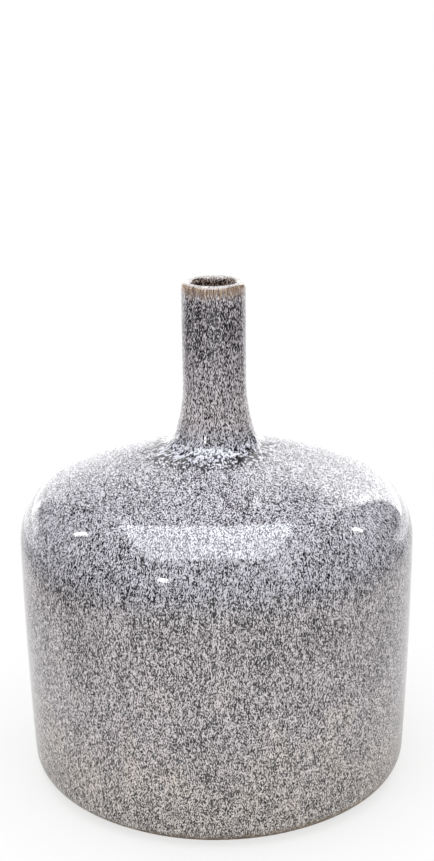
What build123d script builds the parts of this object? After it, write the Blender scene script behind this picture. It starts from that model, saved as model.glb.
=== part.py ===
from build123d import *
from math import asin, atan2, cos, degrees, hypot, radians, sin, sqrt
import os

# Bottle vase: a drum-shaped stoneware belly with a slim neck luted into its shoulder,
# glazed outside and lined inside. Origin at the centre of the foot, +Z up, millimetres.

# Belly, measured on the outer glaze
body_diameter = 195.0
widest_height = 122.0
wall_bow_radius = 2120.0
foot_rounding = 12.0
shoulder_radius = 34.5
shoulder_turn = 68.75
dome_radius = 310.0

# Neck, measured on the glaze outside and on the liner inside
bore_diameter = 21.0
neck_wall = 5.25
flare_radius = 86.7
flare_height = 31.3
neck_straight = 46.4
throat_rounding = 4.0

# Fold at the root of the neck: the clay smoothed over the joint, and the glaze pooled on it
joint_blend = 6.0
pool_radius = 9.0

# Clay, glaze and the slip that holds the neck
clay_wall = 5.0
glaze_thickness = 0.5
slip_thickness = 0.8
seat_angle = 45.0

# Foot and floor
foot_ring_height = 1.2
foot_ring_width = 7.0
foot_recess = 2.0
foot_ease = 0.4
bare_band = 0.8
floor_thickness = 6.0
cavity_rounding = 9.5

# Arc centres and angles of the belly, worked out from tangency
body_radius = body_diameter / 2
body_wall = clay_wall + 2 * glaze_thickness
wall_centre = (body_radius - wall_bow_radius, widest_height)
shoulder_centre = (body_radius - shoulder_radius, widest_height)
dome_centre = (
    shoulder_centre[0] - (dome_radius - shoulder_radius) * cos(radians(shoulder_turn)),
    shoulder_centre[1] - (dome_radius - shoulder_radius) * sin(radians(shoulder_turn)),
)


def tucked_corner(inset, rounding, floor_height):
    """Centre of a corner arc between the floor and the wall at an inset, and the wall's lean there."""
    reach = wall_bow_radius - inset - rounding
    height = floor_height + rounding
    drop = widest_height - height
    centre = (wall_centre[0] + sqrt(reach ** 2 - drop ** 2), height)
    return centre, degrees(asin(drop / reach))


foot_centre, foot_lean = tucked_corner(0, foot_rounding, 0)
floor_top = foot_recess + floor_thickness + glaze_thickness
cavity_centre, cavity_lean = tucked_corner(body_wall, cavity_rounding, floor_top)
glaze_line = foot_ring_height + bare_band

# Neck, standing on the dome where the flare meets it
bore_radius = bore_diameter / 2
neck_radius = bore_radius + neck_wall
lip_rounding = neck_wall / 2
joint_radius = neck_radius + flare_radius - sqrt(flare_radius ** 2 - flare_height ** 2)
joint_height = dome_centre[1] + sqrt(dome_radius ** 2 - (joint_radius - dome_centre[0]) ** 2)
flare_centre = (neck_radius + flare_radius, joint_height + flare_height)
lip_centre = (bore_radius + lip_rounding, flare_centre[1] + neck_straight)
vase_height = lip_centre[1] + lip_rounding

# Throat, where the bore rounds over into the underside of the dome
throat_reach = dome_radius - body_wall + throat_rounding
throat_run = bore_radius + throat_rounding - dome_centre[0]
throat_rise = sqrt(throat_reach ** 2 - throat_run ** 2)
throat_centre = (bore_radius + throat_rounding, dome_centre[1] + throat_rise)
throat_angle = degrees(atan2(throat_rise, throat_run))


def crease(inset):
    """Sharp fold where the flare and the dome meet, on surfaces that lie an inset under the glaze."""
    dome_reach = dome_radius - inset
    flare_reach = flare_radius + inset
    across = flare_centre[0] - dome_centre[0]
    up = flare_centre[1] - dome_centre[1]
    apart = hypot(across, up)
    along = (dome_reach ** 2 - flare_reach ** 2 + apart ** 2) / (2 * apart)
    aside = sqrt(dome_reach ** 2 - along ** 2)
    return (
        dome_centre[0] + (along * across - aside * up) / apart,
        dome_centre[1] + (along * up + aside * across) / apart,
    )


def angle_from(centre, point):
    return degrees(atan2(point[1] - centre[1], point[0] - centre[0])) % 360


def foot_arc_angle(inset, height):
    """Angle on the foot arc at which a surface under the glaze has a height."""
    return -degrees(asin((foot_rounding - height) / (foot_rounding - inset)))


def arc(centre, radius, start, end):
    return CenterArc(centre, radius, start, end - start)


def outside(inset, foot_angle):
    """Edges of the outer surface, an inset under the glaze, from the crest of the lip to the foot."""
    fold = crease(inset)
    return [
        arc(lip_centre, lip_rounding - inset, 0, 90),
        Line((neck_radius - inset, lip_centre[1]), (neck_radius - inset, flare_centre[1])),
        arc(flare_centre, flare_radius + inset, 180, angle_from(flare_centre, fold)),
        arc(dome_centre, dome_radius - inset, shoulder_turn, angle_from(dome_centre, fold)),
        arc(shoulder_centre, shoulder_radius - inset, 0, shoulder_turn),
        arc(wall_centre, wall_bow_radius - inset, -foot_lean, 0),
        arc(foot_centre, foot_rounding - inset, foot_angle, -foot_lean),
    ]


def inside(depth):
    """Edges of the inner surface, a depth behind the liner, from the crest of the lip to the axis."""
    inset = body_wall - depth
    floor_height = floor_top - depth
    return [
        arc(lip_centre, lip_rounding - depth, 90, 180),
        Line((bore_radius + depth, lip_centre[1]), (bore_radius + depth, throat_centre[1])),
        arc(throat_centre, throat_rounding - depth, 180, 180 + throat_angle),
        arc(dome_centre, dome_radius - inset, shoulder_turn, throat_angle),
        arc(shoulder_centre, shoulder_radius - inset, 0, shoulder_turn),
        arc(wall_centre, wall_bow_radius - inset, -cavity_lean, 0),
        arc(cavity_centre, cavity_rounding + depth, -90, -cavity_lean),
        Line((cavity_centre[0], floor_height), (0, floor_height)),
    ]


def round_fold(half, inset, radius):
    """Blends the fold between the flare and the dome, on the surface that lies an inset under the glaze."""
    fold = Vertex(*crease(inset))
    corner = half.vertices().sort_by_distance(fold)[0]
    return fillet(corner, radius=radius)


def outer_glaze_section():
    """Coat from the crest of the lip down to the glaze line, pooled in the fold of the neck."""
    end_angle = foot_arc_angle(0, glaze_line)
    end_radius = foot_rounding - glaze_thickness
    crest = Line((lip_centre[0], vase_height), (lip_centre[0], vase_height - glaze_thickness))
    hem = Line(
        arc(foot_centre, foot_rounding, end_angle, -foot_lean) @ 0,
        arc(foot_centre, end_radius, end_angle, -foot_lean) @ 0,
    )
    coat = make_face(outside(0, end_angle) + [hem, crest] + outside(glaze_thickness, end_angle))
    pooled = round_fold(coat, 0, pool_radius)
    return Plane.XZ * round_fold(pooled, glaze_thickness, joint_blend)


def inner_glaze_section():
    """Liner from the crest of the lip down the bore and over the whole cavity."""
    crest = Line((lip_centre[0], vase_height), (lip_centre[0], vase_height - glaze_thickness))
    middle = Line((0, floor_top), (0, floor_top - glaze_thickness))
    return Plane.XZ * make_face(inside(0) + [crest, middle] + inside(glaze_thickness))


def clay_section():
    """Belly and neck clay together: the wall, the recessed floor and the bare foot ring."""
    ring_angle = foot_arc_angle(glaze_thickness, foot_ring_height)
    skin = outside(glaze_thickness, ring_angle)
    ring_outer = (skin[-1] @ 0).X
    ring_inner = ring_outer - foot_ring_width
    base = FilletPolyline(
        (ring_outer, foot_ring_height),
        (ring_outer, 0),
        (ring_inner, 0),
        (ring_inner, foot_recess),
        (0, foot_recess),
        radius=foot_ease,
    )
    middle = Line((0, foot_recess), (0, floor_top - glaze_thickness))
    body = make_face(skin + [base, middle] + inside(glaze_thickness))
    return Plane.XZ * round_fold(body, glaze_thickness, joint_blend)


def seat_plane(rise):
    """Conical seat of the neck through the fold, seen in section and moved up by a rise."""
    fold = crease(glaze_thickness)
    slope = radians(seat_angle)
    square = Vector(-sin(slope), 0, cos(slope))
    return Plane(origin=Vector(fold[0], 0, fold[1]) + square * rise, z_dir=square)


clay = clay_section()
upper_seat = seat_plane(slip_thickness / 2)
lower_seat = seat_plane(-slip_thickness / 2)
above_belly = split(clay, bisect_by=lower_seat, keep=Keep.TOP)
sections = {
    "belly": split(clay, bisect_by=lower_seat, keep=Keep.BOTTOM),
    "neck": split(above_belly, bisect_by=upper_seat, keep=Keep.TOP),
    "luting_slip": split(above_belly, bisect_by=upper_seat, keep=Keep.BOTTOM),
    "outer_glaze": outer_glaze_section(),
    "inner_glaze": inner_glaze_section(),
}

os.makedirs("parts", exist_ok=True)
for node, half in sections.items():
    export_step(revolve(half, axis=Axis.Z), f"parts/{node}.step")
print(f"height {vase_height:.2f}, neck joint at radius {joint_radius:.2f}, height {joint_height:.2f}")
print(f"straight bore from {throat_centre[1]:.2f} to {lip_centre[1]:.2f}")
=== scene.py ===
from math import asin, atan2, ceil, cos, degrees, hypot, pi, radians, sin, sqrt

import bmesh
import bpy
from mathutils import Matrix, Vector, noise


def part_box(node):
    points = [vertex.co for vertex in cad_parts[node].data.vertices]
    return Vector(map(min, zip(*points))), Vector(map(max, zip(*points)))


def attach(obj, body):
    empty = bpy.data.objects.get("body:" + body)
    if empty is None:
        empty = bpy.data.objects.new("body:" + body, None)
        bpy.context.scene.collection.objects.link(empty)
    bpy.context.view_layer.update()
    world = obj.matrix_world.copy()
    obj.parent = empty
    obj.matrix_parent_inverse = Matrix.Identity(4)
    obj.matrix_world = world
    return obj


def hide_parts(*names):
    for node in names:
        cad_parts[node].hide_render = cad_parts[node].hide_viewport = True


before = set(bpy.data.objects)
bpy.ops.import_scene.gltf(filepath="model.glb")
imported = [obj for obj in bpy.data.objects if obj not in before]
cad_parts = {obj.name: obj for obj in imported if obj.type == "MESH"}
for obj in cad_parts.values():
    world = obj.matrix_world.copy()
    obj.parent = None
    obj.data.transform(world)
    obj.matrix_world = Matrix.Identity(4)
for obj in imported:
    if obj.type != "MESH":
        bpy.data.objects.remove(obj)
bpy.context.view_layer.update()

# Outline of the vase in millimetres, as its solids have it
MM = 0.001
GLAZE_LOW, GLAZE_HIGH = (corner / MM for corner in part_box("outer_glaze"))
LINER_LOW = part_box("inner_glaze")[0] / MM
BODY_RADIUS = GLAZE_HIGH.x
VASE_HEIGHT = GLAZE_HIGH.z
GLAZE_LINE = GLAZE_LOW.z
GLAZE_THICKNESS = 0.5
BODY_WALL = 6.0
FLOOR_TOP = LINER_LOW.z + GLAZE_THICKNESS
WIDEST_HEIGHT = 122.0
WALL_BOW_RADIUS = 2120.0
FOOT_ROUNDING = 12.0
SHOULDER_RADIUS = 34.5
SHOULDER_TURN = 68.75
DOME_RADIUS = 310.0
BORE_RADIUS = 10.5
NECK_WALL = 5.25
FLARE_RADIUS = 86.7
FLARE_HEIGHT = 31.3
JOINT_BLEND = 6.0
POOL_RADIUS = 9.0
THROAT_ROUNDING = 4.0
CAVITY_ROUNDING = 9.5

# Arc centres and angles that follow from tangency
NECK_RADIUS = BORE_RADIUS + NECK_WALL
LIP_ROUNDING = NECK_WALL / 2
LIP_CENTRE = (BORE_RADIUS + LIP_ROUNDING, VASE_HEIGHT - LIP_ROUNDING)
WALL_CENTRE = (BODY_RADIUS - WALL_BOW_RADIUS, WIDEST_HEIGHT)
SHOULDER_CENTRE = (BODY_RADIUS - SHOULDER_RADIUS, WIDEST_HEIGHT)
DOME_CENTRE = (
    SHOULDER_CENTRE[0] - (DOME_RADIUS - SHOULDER_RADIUS) * cos(radians(SHOULDER_TURN)),
    SHOULDER_CENTRE[1] - (DOME_RADIUS - SHOULDER_RADIUS) * sin(radians(SHOULDER_TURN)),
)
JOINT_RADIUS = NECK_RADIUS + FLARE_RADIUS - sqrt(FLARE_RADIUS ** 2 - FLARE_HEIGHT ** 2)
JOINT_HEIGHT = DOME_CENTRE[1] + sqrt(DOME_RADIUS ** 2 - (JOINT_RADIUS - DOME_CENTRE[0]) ** 2)
FLARE_CENTRE = (NECK_RADIUS + FLARE_RADIUS, JOINT_HEIGHT + FLARE_HEIGHT)

# Mesh fineness and the softness of a fired glaze, in millimetres
FINE_STEP = 1.2
COARSE_STEP = 6.0
SEGMENTS = 240
SHARP_ANGLE = 50.0
BROAD_DIP = 0.14
BROAD_SIZE = 34.0
PEEL_DIP = 0.03
PEEL_SIZE = 6.0
EVEN_LIP_POINTS = 12
HEM_RISE = 1.6
HEM_WAVES = 2.4

# Crystals and runs of the glaze, in millimetres across and along its flow
SPECKS = (0.26, 0.68)
NECK_SPECKS = (0.24, 1.0)
FOLD_CRYSTALS = (0.75, 1.3)
STREAKS = (0.36, 3.0)
CLUMPS = (2.2, 3.6)
DRIFTS = (18.0, 26.0)
BROWN_RUNS = (0.6, 14.0)
BROWN_STREAKS = (0.40, 7.0)
ORANGE_PEEL = (7.0, 7.0)

# Girths that the grain runs round, and the radius and height past which the dome has its own grain
NECK_GIRTH = 18.0
WALL_GIRTH = 92.0
DOME_GRAIN_RADIUS = 33.0
DOME_GRAIN_HEIGHT = 148.0
DOME_GRAIN = (0.90, 0.41, 1.1)

# Zones of the glaze: heights between which each sets in, and heights between which it ends
NECK_ZONE = ((190.0, 232.0), (247.5, 240.0))
DOME_ZONE = ((146.0, 158.0), (186.0, 174.0))
CROWN_ZONE = ((122.0, 138.0), (160.0, 148.0))
UPPER_ZONE = ((55.0, 100.0), (132.0, 122.0))
COOL_ZONE = ((112.0, 132.0), (184.0, 172.0))
STEM_START = (174.0, 186.0)
STREAK_START = (40.0, 95.0)
BROWN_START = (242.8, 247.8)
BROWN_END = (249.8, 249.2)
# The pale crest of the lip sets in here: partly thin pale glaze, partly painted highlight
PALE_LIP_AND_HIGHLIGHT_START = (249.1, 249.65)
BEIGE_END = (100.0, 60.0)
WARM_END = (70.0, 12.0)
HEM_BROWN_END = (7.5, 2.0)

# Fold of the neck: radii of the pool and the ring about it, the way they lean, and the ring's strong side
POOL_END = (28.0, 24.5)
POOL_TOP = (176.0, 170.0)
RING_ZONE = ((23.5, 26.0), (35.0, 30.5))
RING_START = (160.0, 165.0)
FOLD_LEAN = (2.5, 3.0, 0.0)
RING_SIDE = (-0.5, -0.85, 0.0)

# Tints of the glaze, and the pale crest of the lip, partly its thin pale glaze and partly painted highlight
COOL_TINT = (0.945, 1.0, 1.06)
POOL_TINT = (0.975, 1.0, 1.03)
NECK_TINT = (0.98, 0.98, 1.02)
BEIGE_TINT = (1.03, 1.01, 0.86)
WARM_TINT = (1.0, 0.99, 0.92)
PALE_LIP_AND_HIGHLIGHT = (0.620, 0.600, 0.585, 1.0)
GLAZE_IOR = 1.6

# Brightness of the sky, of the room in mirrors, and of the lamps and the backdrop
SKY_GLOW = 0.80
ROOM_GLOW = 0.12
SOFT_LIGHT = 2.3
SOFTBOX = 4.7
BACKDROP = 1.4
SWEEP = 0.6
SWEEP_LEFT = 1.8
GLINT = 18.0

# Patches of the backdrop: where they set in across it and up it, and how they change its brightness
BACKDROP_PATCHES = (
    ((0.45, 0.70), (0.15, 0.40), -0.3),
    ((0.76, 0.86), (0.28, 0.38), -0.55),
    ((0.45, 0.30), (0.20, 0.36), 0.4),
    ((0.20, 0.10), (0.20, 0.36), 0.9),
    ((0.36, 0.26), (0.50, 0.64), -1.4),
)

# Glints at the shoulder: azimuth, elevation and size in metres of the lamps that make them
GLINT_DISTANCE = 1.2
GLINTS = {
    "left": (-102, 34, (0.08, 0.18)),
    "right": (104, 31, (0.06, 0.17)),
    "front": (-29, 17, (0.11, 0.10)),
}

# Camera at the photograph's angle, found from the silhouette
IMAGE_HEIGHT_PX = 861
FOCAL_PX = 1578.4
SENSOR_MM = 36.0
CAMERA_PLACE = Vector((0.9, -740.0, 402.9)) * MM
CAMERA_PITCH = 17.1
CAMERA_ROLL = -0.74


def angle_from(centre, point):
    return degrees(atan2(point[1] - centre[1], point[0] - centre[0])) % 360


def crease(inset):
    """Sharp fold where the flare and the dome meet, on surfaces that lie an inset under the glaze."""
    dome_reach = DOME_RADIUS - inset
    flare_reach = FLARE_RADIUS + inset
    across = FLARE_CENTRE[0] - DOME_CENTRE[0]
    up = FLARE_CENTRE[1] - DOME_CENTRE[1]
    apart = hypot(across, up)
    along = (dome_reach ** 2 - flare_reach ** 2 + apart ** 2) / (2 * apart)
    aside = sqrt(dome_reach ** 2 - along ** 2)
    return (
        DOME_CENTRE[0] + (along * across - aside * up) / apart,
        DOME_CENTRE[1] + (along * up + aside * across) / apart,
    )


def tucked_corner(inset, rounding, floor_height):
    """Centre of a corner arc between the floor and the wall at an inset, and the wall's lean there."""
    reach = WALL_BOW_RADIUS - inset - rounding
    height = floor_height + rounding
    drop = WIDEST_HEIGHT - height
    return (WALL_CENTRE[0] + sqrt(reach ** 2 - drop ** 2), height), degrees(asin(drop / reach))


def arc_points(centre, radius, start, end, step):
    """Points along an arc, without its last one, so that arcs can follow each other."""
    count = max(2, ceil(abs(radians(end - start)) * radius / step))
    turns = [radians(start + (end - start) * i / count) for i in range(count)]
    return [(centre[0] + radius * cos(a), centre[1] + radius * sin(a)) for a in turns]


def line_points(start, end, step):
    """Points along a line, without its last one."""
    count = max(1, ceil(hypot(end[0] - start[0], end[1] - start[1]) / step))
    shares = [i / count for i in range(count)]
    return [(start[0] + (end[0] - start[0]) * s, start[1] + (end[1] - start[1]) * s) for s in shares]


FOOT_CENTRE, FOOT_LEAN = tucked_corner(0, FOOT_ROUNDING, 0)
HEM_ANGLE = -degrees(asin((FOOT_ROUNDING - GLAZE_LINE) / FOOT_ROUNDING))


def hem_angle(turn):
    """The glaze stops in a wavy line, never lower than the solid's glaze line."""
    wave = noise.noise(Vector((cos(turn), sin(turn), 0)) * HEM_WAVES)
    rise = HEM_RISE * (0.5 + 0.5 * wave)
    return HEM_ANGLE + degrees(rise / FOOT_ROUNDING)


def coat_outline(inset, blend, hem, step):
    """Outer surface, an inset under the glaze, from the crest of the lip over a blended fold to the hem."""
    corner = crease(inset - blend)
    flare_end = angle_from(FLARE_CENTRE, corner)
    dome_end = angle_from(DOME_CENTRE, corner)
    points = arc_points(LIP_CENTRE, LIP_ROUNDING - inset, 90, 0, step / 4)
    neck_edge = NECK_RADIUS - inset
    points += line_points((neck_edge, LIP_CENTRE[1]), (neck_edge, FLARE_CENTRE[1]), step)
    points += arc_points(FLARE_CENTRE, FLARE_RADIUS + inset, 180, flare_end, step)
    points += arc_points(corner, blend, flare_end, dome_end + 180, step / 3)
    points += arc_points(DOME_CENTRE, DOME_RADIUS - inset, dome_end, SHOULDER_TURN, step)
    points += arc_points(SHOULDER_CENTRE, SHOULDER_RADIUS - inset, SHOULDER_TURN, 0, step)
    points += arc_points(WALL_CENTRE, WALL_BOW_RADIUS - inset, 0, -FOOT_LEAN, step)
    foot_steps = max(3, ceil(FOOT_ROUNDING / step * 2))
    foot_turns = [-FOOT_LEAN + (hem + FOOT_LEAN) * i / foot_steps for i in range(foot_steps + 1)]
    foot_reach = FOOT_ROUNDING - inset
    points += [
        (FOOT_CENTRE[0] + foot_reach * cos(radians(a)), FOOT_CENTRE[1] + foot_reach * sin(radians(a)))
        for a in foot_turns
    ]
    return points


def liner_outline(depth, step):
    """Inner surface, a depth behind the liner, from the crest of the lip to the axis."""
    inset = BODY_WALL - depth
    throat_run = BORE_RADIUS + THROAT_ROUNDING - DOME_CENTRE[0]
    throat_rise = sqrt((DOME_RADIUS - BODY_WALL + THROAT_ROUNDING) ** 2 - throat_run ** 2)
    throat_angle = degrees(atan2(throat_rise, throat_run))
    throat = (BORE_RADIUS + THROAT_ROUNDING, DOME_CENTRE[1] + throat_rise)
    cavity, cavity_lean = tucked_corner(BODY_WALL, CAVITY_ROUNDING, FLOOR_TOP)
    bore = BORE_RADIUS + depth
    points = arc_points(LIP_CENTRE, LIP_ROUNDING - depth, 90, 180, step / 4)
    points += line_points((bore, LIP_CENTRE[1]), (bore, throat[1]), step)
    points += arc_points(throat, THROAT_ROUNDING - depth, 180, 180 + throat_angle, step / 2)
    points += arc_points(DOME_CENTRE, DOME_RADIUS - inset, throat_angle, SHOULDER_TURN, step)
    points += arc_points(SHOULDER_CENTRE, SHOULDER_RADIUS - inset, SHOULDER_TURN, 0, step)
    points += arc_points(WALL_CENTRE, WALL_BOW_RADIUS - inset, 0, -cavity_lean, step)
    points += arc_points(cavity, CAVITY_ROUNDING + depth, -cavity_lean, -90, step / 2)
    points += line_points((cavity[0], FLOOR_TOP - depth), (0, FLOOR_TOP - depth), step)
    return points + [(0, FLOOR_TOP - depth)]


def glaze_dip(point):
    """How far a fired glaze sinks under its ideal surface: broad softness and fine orange peel."""
    broad = 0.5 + 0.5 * noise.noise(point / BROAD_SIZE)
    peel = 0.5 + 0.5 * noise.noise(point / PEEL_SIZE)
    return BROAD_DIP * broad + PEEL_DIP * peel


def softened(outline, turn):
    """Points of an outer outline in space at a turn about the axis, sunk by the glaze's dip."""
    placed = []
    last = len(outline) - 1
    for i, (radius, height) in enumerate(outline):
        before = outline[max(0, i - 1)]
        after = outline[min(last, i + 1)]
        run = (after[0] - before[0], after[1] - before[1])
        length = hypot(*run)
        inward = (run[1] / length, -run[0] / length)
        dip = glaze_dip(Vector((radius * cos(turn), radius * sin(turn), height)))
        dip *= min(1.0, i / EVEN_LIP_POINTS)
        placed.append((radius + inward[0] * dip, height + inward[1] * dip))
    return placed


def lathe(name, section_at):
    """Closed mesh turned about the axis, whose section may differ a little at each turn."""
    sections = [section_at(2 * pi * s / SEGMENTS) for s in range(SEGMENTS)]
    rings = len(sections[0])
    shape = bmesh.new()
    grid = []
    for s, section in enumerate(sections):
        turn = 2 * pi * s / SEGMENTS
        places = [Vector((r * cos(turn), r * sin(turn), z)) * MM for r, z in section]
        grid.append([shape.verts.new(place) for place in places])
    for s in range(SEGMENTS):
        here, there = grid[s], grid[(s + 1) % SEGMENTS]
        for k in range(rings):
            n = (k + 1) % rings
            shape.faces.new((here[k], there[k], there[n], here[n]))
    bmesh.ops.remove_doubles(shape, verts=shape.verts, dist=GLAZE_THICKNESS * MM / 1000)
    bmesh.ops.recalc_face_normals(shape, faces=shape.faces)
    mesh = bpy.data.meshes.new(name)
    shape.to_mesh(mesh)
    shape.free()
    mesh.shade_smooth()
    mesh.set_sharp_from_angle(angle=radians(SHARP_ANGLE))
    piece = bpy.data.objects.new(name, mesh)
    bpy.context.scene.collection.objects.link(piece)
    return piece


def outer_section(turn):
    hem = hem_angle(turn)
    face = softened(coat_outline(0, POOL_RADIUS, hem, FINE_STEP), turn)
    back = coat_outline(GLAZE_THICKNESS, JOINT_BLEND, hem, COARSE_STEP)
    return face + back[::-1]


LINER_SECTION = liner_outline(0, COARSE_STEP / 2) + liner_outline(GLAZE_THICKNESS, COARSE_STEP)[::-1]


class Graph:
    """Adds shader nodes to a tree and joins their sockets."""

    def __init__(self, tree):
        self.tree = tree
        self.tree.nodes.clear()

    def put(self, socket, value):
        if isinstance(value, bpy.types.NodeSocket):
            self.tree.links.new(value, socket)
        else:
            socket.default_value = value

    def add(self, kind, settings=None, **inputs):
        made = self.tree.nodes.new("ShaderNode" + kind)
        for key, value in (settings or {}).items():
            setattr(made, key, value)
        for key, value in inputs.items():
            self.put(made.inputs[key.replace("_", " ")], value)
        return made

    def math(self, operation, *values):
        made = self.add("Math", {"operation": operation})
        for socket, value in zip(made.inputs, values):
            self.put(socket, value)
        return made.outputs[0]

    def vector(self, operation, *values):
        made = self.add("VectorMath", {"operation": operation})
        for socket, value in zip(made.inputs, values):
            self.put(socket, value)
        return made.outputs

    def span(self, value, low, high, start=0.0, end=1.0):
        """Smooth step from one level to another between two values."""
        made = self.add("MapRange", {"interpolation_type": "SMOOTHSTEP"}, Value=value)
        for key, level in (("From Min", low), ("From Max", high), ("To Min", start), ("To Max", end)):
            made.inputs[key].default_value = level
        return made.outputs["Result"]

    def zone(self, value, start, end):
        """1 between two smooth steps, 0 outside them."""
        return self.math("MULTIPLY", self.span(value, *start), self.span(value, *end))

    def total(self, first, *parts):
        """First value, with shares of others added about their middle."""
        level = first
        for value, middle, share in parts:
            level = self.math("MULTIPLY_ADD", self.math("SUBTRACT", value, middle), share, level)
        return level

    def toward(self, outward, way):
        """How far the way out from the axis points along another way."""
        return self.vector("DOT_PRODUCT", outward, way)["Value"]

    def mix(self, share, first, second, blend="MIX"):
        made = self.add("Mix", {"data_type": "RGBA", "blend_type": blend})
        for index, value in ((0, share), (6, first), (7, second)):
            self.put(made.inputs[index], value)
        return made.outputs[2]

    def ramp(self, value, stops):
        made = self.add("ValToRGB", Fac=value)
        elements = made.color_ramp.elements
        while len(elements) < len(stops):
            elements.new(0.5)
        for element, (place, colour) in zip(elements, stops):
            element.position = place
            element.color = (*colour, 1.0)
        return made.outputs["Color"]

    def grain(self, place, across, along, detail=0.0):
        """Noise whose grains measure about this much across and along, in millimetres."""
        stretch = self.vector("MULTIPLY", place, (1 / across, 1 / across, 1 / along))[0]
        return self.add("TexNoise", Vector=stretch, Scale=1.0, Detail=detail).outputs["Fac"]

    def flecks(self, place, across, along):
        """Crystals about this much across and along, in millimetres, each with a level from 0 to 1."""
        stretch = self.vector("MULTIPLY", place, (1 / across, 1 / across, 1 / along))[0]
        shade = self.add("TexVoronoi", Vector=stretch, Scale=1.0).outputs["Color"]
        return self.add("SeparateColor", Color=shade).outputs["Red"]

    def place(self):
        """Place on the object in millimetres, the way out from its axis, its radius and its height."""
        metres = self.add("TexCoord").outputs["Object"]
        place = self.vector("MULTIPLY", metres, (1 / MM, 1 / MM, 1 / MM))[0]
        axes = self.add("SeparateXYZ", Vector=place).outputs
        level = self.add("CombineXYZ", X=axes["X"], Y=axes["Y"]).outputs[0]
        outward = self.vector("NORMALIZE", level)[0]
        return place, outward, self.vector("LENGTH", level)["Value"], axes["Z"]

    def flow(self, place, outward, radius, height):
        """Coordinates in which grains run down neck and walls as a glaze flows, and lie flat on the dome.

        The girth they run round is larger on the walls, so that grains are about as wide as on the neck.
        """
        edge = self.math("SUBTRACT", self.grain(place, 2.5, 2.5), 0.5)
        ragged_radius = self.math("MULTIPLY_ADD", edge, 8.0, radius)
        ragged_height = self.math("MULTIPLY_ADD", edge, 10.0, height)
        past_neck = self.math("GREATER_THAN", ragged_radius, DOME_GRAIN_RADIUS)
        over_wall = self.math("GREATER_THAN", ragged_height, DOME_GRAIN_HEIGHT)
        girth = self.math("MULTIPLY_ADD", past_neck, WALL_GIRTH - NECK_GIRTH, NECK_GIRTH)
        round_axis = self.vector("MULTIPLY", outward, self.add("CombineXYZ", X=girth, Y=girth).outputs[0])[0]
        along = self.add("CombineXYZ", Z=self.math("MULTIPLY_ADD", radius, -0.5, height)).outputs[0]
        made = self.add("Mix", {"data_type": "VECTOR"})
        self.put(made.inputs[0], self.math("MULTIPLY", past_neck, over_wall))
        self.put(made.inputs[4], self.vector("ADD", round_axis, along)[0])
        self.put(made.inputs[5], self.vector("MULTIPLY", place, DOME_GRAIN)[0])
        return made.outputs[1]


def new_material(name):
    made = bpy.data.materials.new(name)
    made.use_nodes = True
    return made, Graph(made.node_tree)


def close_material(graph, colour, roughness, height, bump_mm, **sockets):
    """Principled surface with bump, joined to the material's output."""
    bump = graph.add("Bump", Height=height, Strength=1.0, Distance=bump_mm * MM)
    surface = graph.add("BsdfPrincipled", Base_Color=colour, Normal=bump.outputs["Normal"], **sockets)
    graph.put(surface.inputs["Roughness"], roughness)
    graph.add("OutputMaterial", Surface=surface.outputs["BSDF"])


def speckle(graph, level):
    """Charcoal to pale grey, as dark and white crystals part in the glaze."""
    return graph.ramp(level, [
        (0.41, (0.0085, 0.0075, 0.0085)),
        (0.475, (0.105, 0.098, 0.101)),
        (0.525, (0.325, 0.303, 0.312)),
        (0.59, (0.690, 0.643, 0.664)),
    ])


def tinted(graph, share, colour, tint):
    """Colour multiplied by a tint, where its share says so."""
    return graph.mix(share, colour, graph.mix(1.0, colour, (*tint, 1.0), "MULTIPLY"))


def pale_lip_and_highlight(graph, colour, fine, height):
    """Colour with the pale crest of the lip over it, partly thin pale glaze and partly painted highlight."""
    # Patchy share of the pale crest: partly thin pale glaze, partly painted highlight where the lip mirrors
    # the lamps
    patchy_share = graph.span(fine, 0.36, 0.48, 0.2, 0.8)
    return graph.mix(graph.math("MULTIPLY", graph.span(height, *PALE_LIP_AND_HIGHLIGHT_START), patchy_share), colour, PALE_LIP_AND_HIGHLIGHT)


def neck_fold(graph, place, outward, radius, height):
    """Where the glaze pools in the fold of the neck, and the dark ring of crystals about the pool."""
    lean = graph.toward(outward, FOLD_LEAN)
    spread = graph.math("ADD", radius, graph.total(lean, (graph.grain(place, 7.0, 7.0, 1.0), 0.5, 9.0)))
    pool = graph.math("MULTIPLY", graph.span(spread, *POOL_END), graph.span(height, *POOL_TOP))
    ring = graph.math("MULTIPLY", graph.zone(spread, *RING_ZONE), graph.span(height, *RING_START))
    strength = graph.span(graph.toward(outward, RING_SIDE), -1.0, -0.4)
    return pool, graph.math("MULTIPLY", ring, strength)


def brown_runs(graph, flow, height):
    """Share and colour of the brown that shows where the glaze runs thin under the lip."""
    low = graph.total(height, (graph.grain(flow, *BROWN_RUNS, detail=1.0), 0.5, 12.0))
    share = graph.math("MULTIPLY", graph.span(low, *BROWN_START, 0.0, 0.9), graph.span(height, *BROWN_END))
    colour = graph.ramp(graph.grain(flow, *BROWN_STREAKS), [
        (0.36, (0.080, 0.048, 0.040)),
        (0.50, (0.250, 0.155, 0.092)),
        (0.64, (0.430, 0.325, 0.230)),
    ])
    return share, colour


def brown_hem(graph, fine, clump, outward, height):
    """Share and colour of the brown edge at the foot, which is widest at the sides."""
    side = graph.toward(outward, (1, 0, 0))
    both_sides = graph.math("MULTIPLY", side, side)
    reach = graph.math("MULTIPLY_ADD", both_sides, 3.5, graph.math("MULTIPLY", side, 2.0))
    low = graph.math("SUBTRACT", graph.total(height, (clump, 0.5, 7.0)), reach)
    colour = graph.ramp(fine, [(0.28, (0.095, 0.066, 0.034)), (0.72, (0.305, 0.224, 0.118))])
    return graph.span(low, *HEM_BROWN_END, 0.0, 0.9), colour


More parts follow.
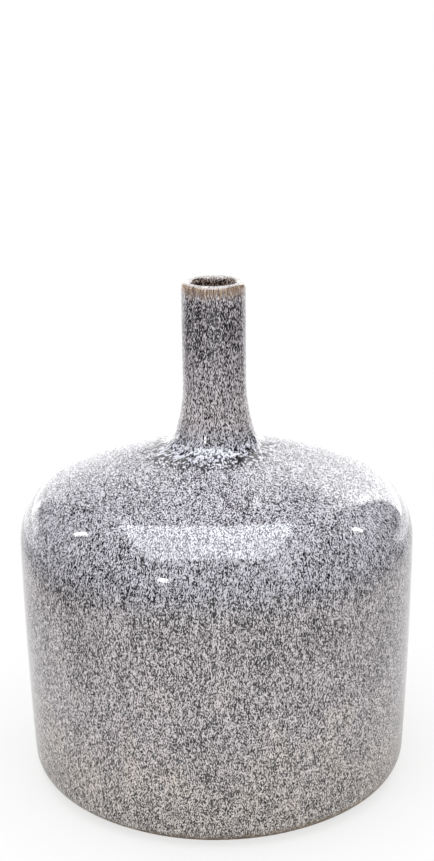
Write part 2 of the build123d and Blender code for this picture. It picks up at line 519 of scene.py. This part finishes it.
def speckled_glaze():
    """Glossy reactive glaze: dark and pale speckle that runs down, brown where it runs thin."""
    material, graph = new_material("speckled_glaze")
    place, outward, radius, height = graph.place()
    flow = graph.flow(place, outward, radius, height)

    # Zones by height: a darker neck, streaky upper walls, a dome of stronger speckle, and the fold
    stem = graph.span(height, *STEM_START)
    neck = graph.zone(height, *NECK_ZONE)
    dome = graph.zone(height, *DOME_ZONE)
    crown = graph.zone(height, *CROWN_ZONE)
    upper = graph.zone(height, *UPPER_ZONE)
    pool, ring = neck_fold(graph, place, outward, radius, height)
    folded = graph.math("MAXIMUM", ring, pool)

    # Crystals, clumps and streaks
    specks = graph.flecks(flow, *SPECKS)
    longer = graph.math("SUBTRACT", graph.flecks(flow, *NECK_SPECKS), specks)
    fine = graph.math("MULTIPLY_ADD", graph.math("MULTIPLY_ADD", longer, stem, specks), 0.5, 0.25)
    clump = graph.grain(flow, *CLUMPS, detail=2.0)
    clumped = graph.span(stem, 0.0, 1.0, 0.30, 0.12)
    drift = graph.grain(place, *DRIFTS, detail=2.0)
    streak = graph.grain(flow, *STREAKS)
    streaky = graph.span(height, *STREAK_START, 0.15, 0.45)
    streaky = graph.math("MULTIPLY", streaky, graph.span(height, *DOME_ZONE[0], 1.0, 0.3))
    crystals = graph.flecks(flow, *FOLD_CRYSTALS)
    crystal_share = graph.math("MULTIPLY", folded, 0.7)

    speckles = graph.total(fine, (clump, 0.5, clumped), (drift, 0.5, 0.15), (streak, 0.5, streaky))
    speckles = graph.total(speckles, (crystals, 0.5, crystal_share), (ring, 0.0, -0.13), (pool, 0.0, -0.01))
    speckles = graph.total(speckles, (neck, 0.0, -0.108), (stem, 0.0, 0.01), (dome, 0.0, -0.003))
    speckles = graph.total(speckles, (crown, 0.0, 0.014), (upper, 0.0, -0.026))
    gain = graph.total(1.0, (dome, 0.0, 1.0), (folded, 0.0, 0.4), (stem, 0.0, 0.7))
    colour = speckle(graph, graph.total(0.5, (speckles, 0.5, gain)))

    # Tints: cool about the dome, warmer to the foot
    beige = graph.math("MULTIPLY", graph.span(drift, 0.48, 0.66), graph.span(height, *BEIGE_END, 0.0, 0.35))
    colour = tinted(graph, graph.zone(height, *COOL_ZONE), colour, COOL_TINT)
    colour = tinted(graph, pool, colour, POOL_TINT)
    colour = tinted(graph, graph.span(height, 190.0, 230.0), colour, NECK_TINT)
    colour = tinted(graph, beige, colour, BEIGE_TINT)
    colour = tinted(graph, graph.span(height, *WARM_END), colour, WARM_TINT)

    # Brown under the lip, the pale lip, which is partly thin pale glaze and partly painted highlight, and
    # the brown edge at the foot
    brown, brown_colour = brown_runs(graph, flow, height)
    colour = pale_lip_and_highlight(graph, graph.mix(brown, colour, brown_colour), fine, height)
    hem, hem_colour = brown_hem(graph, fine, clump, outward, height)
    colour = graph.mix(hem, colour, hem_colour)

    roughness = graph.span(fine, 0.35, 0.7, 0.10, 0.05)
    peel = graph.grain(place, *ORANGE_PEEL, detail=1.0)
    close_material(graph, colour, roughness, peel, 0.05, IOR=GLAZE_IOR)
    return material


def liner_glaze():
    """Brown-grey liner with a fine dark speckle, pale at the very lip, partly thin pale glaze and partly
    painted highlight.
    """
    material, graph = new_material("liner_glaze")
    place, outward, radius, height = graph.place()
    fine = graph.grain(place, 0.6, 1.2)
    colour = graph.ramp(fine, [
        (0.37, (0.012, 0.009, 0.008)),
        (0.50, (0.120, 0.082, 0.064)),
        (0.63, (0.400, 0.330, 0.290)),
    ])
    # Pale crest of the lip: partly thin pale glaze, partly painted highlight
    colour = pale_lip_and_highlight(graph, colour, fine, height)
    roughness = graph.span(fine, 0.35, 0.7, 0.12, 0.06)
    close_material(graph, colour, roughness, fine, 0.01, IOR=GLAZE_IOR)
    return material


def bare_stoneware():
    """Fired bare clay: brown buff, matt, sandy, with iron specks."""
    material, graph = new_material("bare_stoneware")
    place = graph.place()[0]
    sand = graph.grain(place, 0.7, 0.7, detail=2.0)
    cloud = graph.grain(place, 14.0, 14.0, detail=3.0)
    iron = graph.add("TexVoronoi", Vector=place, Scale=0.26, Randomness=1.0).outputs["Distance"]
    colour = graph.ramp(sand, [
        (0.32, (0.200, 0.125, 0.075)),
        (0.52, (0.330, 0.225, 0.145)),
        (0.70, (0.460, 0.345, 0.240)),
    ])
    colour = graph.mix(graph.span(cloud, 0.35, 0.65, 0.0, 0.5), colour, (0.285, 0.180, 0.110, 1.0))
    colour = graph.mix(graph.span(iron, 0.16, 0.08, 0.0, 0.8), colour, (0.060, 0.036, 0.026, 1.0))
    roughness = graph.span(sand, 0.3, 0.7, 0.92, 0.78)
    close_material(graph, colour, roughness, sand, 0.12)
    return material


def dress(piece, material):
    piece.data.materials.clear()
    piece.data.materials.append(material)


def floor_material():
    """White floor that keeps a soft shadow. In the glaze it ends beside the vase, where the room is dim."""
    material, graph = new_material("floor_white")
    path = graph.add("LightPath").outputs
    spot = graph.add("TexCoord").outputs["Object"]
    axes = graph.add("SeparateXYZ", Vector=spot).outputs
    reach = graph.vector("LENGTH", spot)["Value"]
    seen = graph.math("MAXIMUM", path["Is Camera Ray"], path["Is Transmission Ray"])
    seen = graph.math("MULTIPLY", seen, graph.span(reach, 0.10, 0.34, 0.72, 1.0))
    mirrored = graph.math("MULTIPLY", path["Is Glossy Ray"], graph.span(reach, 0.11, 0.26))
    beside = graph.math("MAXIMUM", graph.span(axes["X"], -0.25, -0.36), graph.span(axes["X"], 0.30, 0.45))
    behind = graph.math("MULTIPLY_ADD", graph.math("ABSOLUTE", axes["X"]), -0.5, axes["Y"])
    dimmed = graph.math("MULTIPLY", beside, graph.span(behind, 0.2, 0.0))
    dimmed = graph.math("MULTIPLY", path["Is Glossy Ray"], dimmed)
    strength = graph.math("MULTIPLY_ADD", dimmed, -0.75, 1.0)
    paper = graph.add("BsdfDiffuse", Color=(0.82, 0.82, 0.82, 1.0))
    glow = graph.add("Emission", Color=(1.0, 1.0, 1.0, 1.0), Strength=strength)
    blend = graph.add("MixShader")
    graph.put(blend.inputs[0], graph.math("MAXIMUM", seen, mirrored))
    graph.put(blend.inputs[1], paper.outputs["BSDF"])
    graph.put(blend.inputs[2], glow.outputs["Emission"])
    graph.add("OutputMaterial", Surface=blend.outputs["Shader"])
    return material


def studio_world():
    """White to the camera, soft light all round, and a dim room in the glaze."""
    world = bpy.data.worlds.new("studio")
    bpy.context.scene.world = world
    world.use_nodes = True
    graph = Graph(world.node_tree)
    path = graph.add("LightPath").outputs
    seen = graph.math("MAXIMUM", path["Is Camera Ray"], path["Is Transmission Ray"])
    light = graph.math("MULTIPLY_ADD", path["Is Glossy Ray"], ROOM_GLOW - SKY_GLOW, SKY_GLOW)
    back = graph.add("Background", Color=(1.0, 1.0, 1.0, 1.0), Strength=graph.math("MAXIMUM", seen, light))
    graph.add("OutputWorld", Surface=back.outputs["Background"])


def area_lamp(name, place, target, size, radiance, lights=True, mirrors=True):
    """Rectangular lamp of a given brightness turned to a target, which lights, is mirrored, or both."""
    light = bpy.data.lights.new(name, "AREA")
    light.shape = "RECTANGLE"
    light.size, light.size_y = size
    light.energy = radiance * pi * size[0] * size[1]
    lamp = bpy.data.objects.new(name, light)
    bpy.context.scene.collection.objects.link(lamp)
    lamp.location = place
    lamp.rotation_mode = "QUATERNION"
    lamp.rotation_quaternion = (Vector(target) - Vector(place)).to_track_quat("-Z", "Y")
    lamp.visible_camera = False
    lamp.visible_diffuse = lights
    lamp.visible_glossy = mirrors
    return light


def shade_backdrop(light):
    """The backdrop is brighter to the right and near the floor, dimmer high up, and uneven at its sides."""
    light.use_nodes = True
    graph = Graph(light.node_tree)
    across = graph.add("SeparateXYZ", Vector=graph.add("NewGeometry").outputs["Parametric"]).outputs
    level = graph.span(across["X"], 0.45, 0.05, 1.1, 1.9)
    level = graph.math("ADD", level, graph.span(across["Y"], 0.25, 0.0, 0.0, 0.35))
    level = graph.math("ADD", level, graph.span(across["Y"], 0.35, 0.95, 0.0, -0.75))
    for side, height, change in BACKDROP_PATCHES:
        patch = graph.math("MULTIPLY", graph.span(across["X"], *side), graph.span(across["Y"], *height))
        level = graph.math("MULTIPLY_ADD", patch, change, level)
    glow = graph.add("Emission", Strength=graph.math("MAXIMUM", level, 0.05))
    graph.add("OutputLight", Surface=glow.outputs["Emission"])


def compass_place(target, azimuth, elevation, distance):
    """Point seen from a target, azimuth 0 towards the camera and 90 to its right."""
    a, e = radians(azimuth), radians(elevation)
    return Vector(target) + Vector((sin(a) * cos(e), -cos(a) * cos(e), sin(e))) * distance


def studio():
    """Floor, world, soft light from above, and what the glaze mirrors."""
    shoulder = Vector((0, 0, WIDEST_HEIGHT + SHOULDER_RADIUS / 2)) * MM
    bpy.ops.mesh.primitive_circle_add(vertices=96, radius=30.0, fill_type="NGON")
    floor = bpy.context.object
    floor.name = "studio_floor"
    dress(floor, floor_material())
    studio_world()
    area_lamp("soft_light", (-0.04, -0.17, 1.15), (-0.04, -0.17, 0), (1.1, 1.2), SOFT_LIGHT, mirrors=False)

    # Mirrored alone: a softbox over the vase, a backdrop with its sweep, and three glints at the shoulder
    softbox_place = (-0.08, -0.11, 1.05)
    softbox = area_lamp("softbox", softbox_place, (-0.08, 0.23, 0.05), (1.08, 1.07), SOFTBOX, lights=False)
    softbox.color = (0.94, 0.98, 1.05)
    backdrop_place = (0.10, 2.2, 1.86)
    backdrop = area_lamp("backdrop", backdrop_place, (0.10, 0, 1.86), (3.5, 3.7), BACKDROP, lights=False)
    shade_backdrop(backdrop)
    area_lamp("sweep", (0.10, 1.3, 0.005), (0.10, 1.3, 1.0), (3.5, 1.7), SWEEP, lights=False)
    left = compass_place(shoulder, -136, 2, 1.5)
    area_lamp("sweep_left", left, shoulder, (0.50, 0.22), SWEEP_LEFT, lights=False)
    for name, (azimuth, elevation, size) in GLINTS.items():
        place = compass_place(shoulder, azimuth, elevation, GLINT_DISTANCE)
        area_lamp(f"{name}_glint", place, shoulder, size, GLINT, lights=False)


def photo_camera():
    """Camera at the photograph's place, pitch and roll."""
    data = bpy.data.cameras.new("photo_camera")
    data.sensor_fit = "AUTO"
    data.sensor_width = SENSOR_MM
    data.lens = FOCAL_PX / IMAGE_HEIGHT_PX * SENSOR_MM
    data.clip_start = 0.01
    camera = bpy.data.objects.new("photo_camera", data)
    bpy.context.scene.collection.objects.link(camera)
    tilt = Matrix.Rotation(radians(90 - CAMERA_PITCH), 4, "X")
    roll = Matrix.Rotation(radians(CAMERA_ROLL), 4, "Z")
    camera.matrix_world = Matrix.Translation(CAMERA_PLACE) @ tilt @ roll
    bpy.context.scene.camera = camera


clay = bare_stoneware()
for node in ("belly", "neck", "luting_slip"):
    dress(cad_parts[node], clay)

coat = lathe("outer_glaze_coat", outer_section)
dress(coat, speckled_glaze())
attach(coat, "root")
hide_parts("outer_glaze")

liner = lathe("inner_glaze_liner", lambda turn: LINER_SECTION)
dress(liner, liner_glaze())
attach(liner, "root")
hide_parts("inner_glaze")

studio()
photo_camera()
bpy.context.scene.view_settings.view_transform = "Standard"
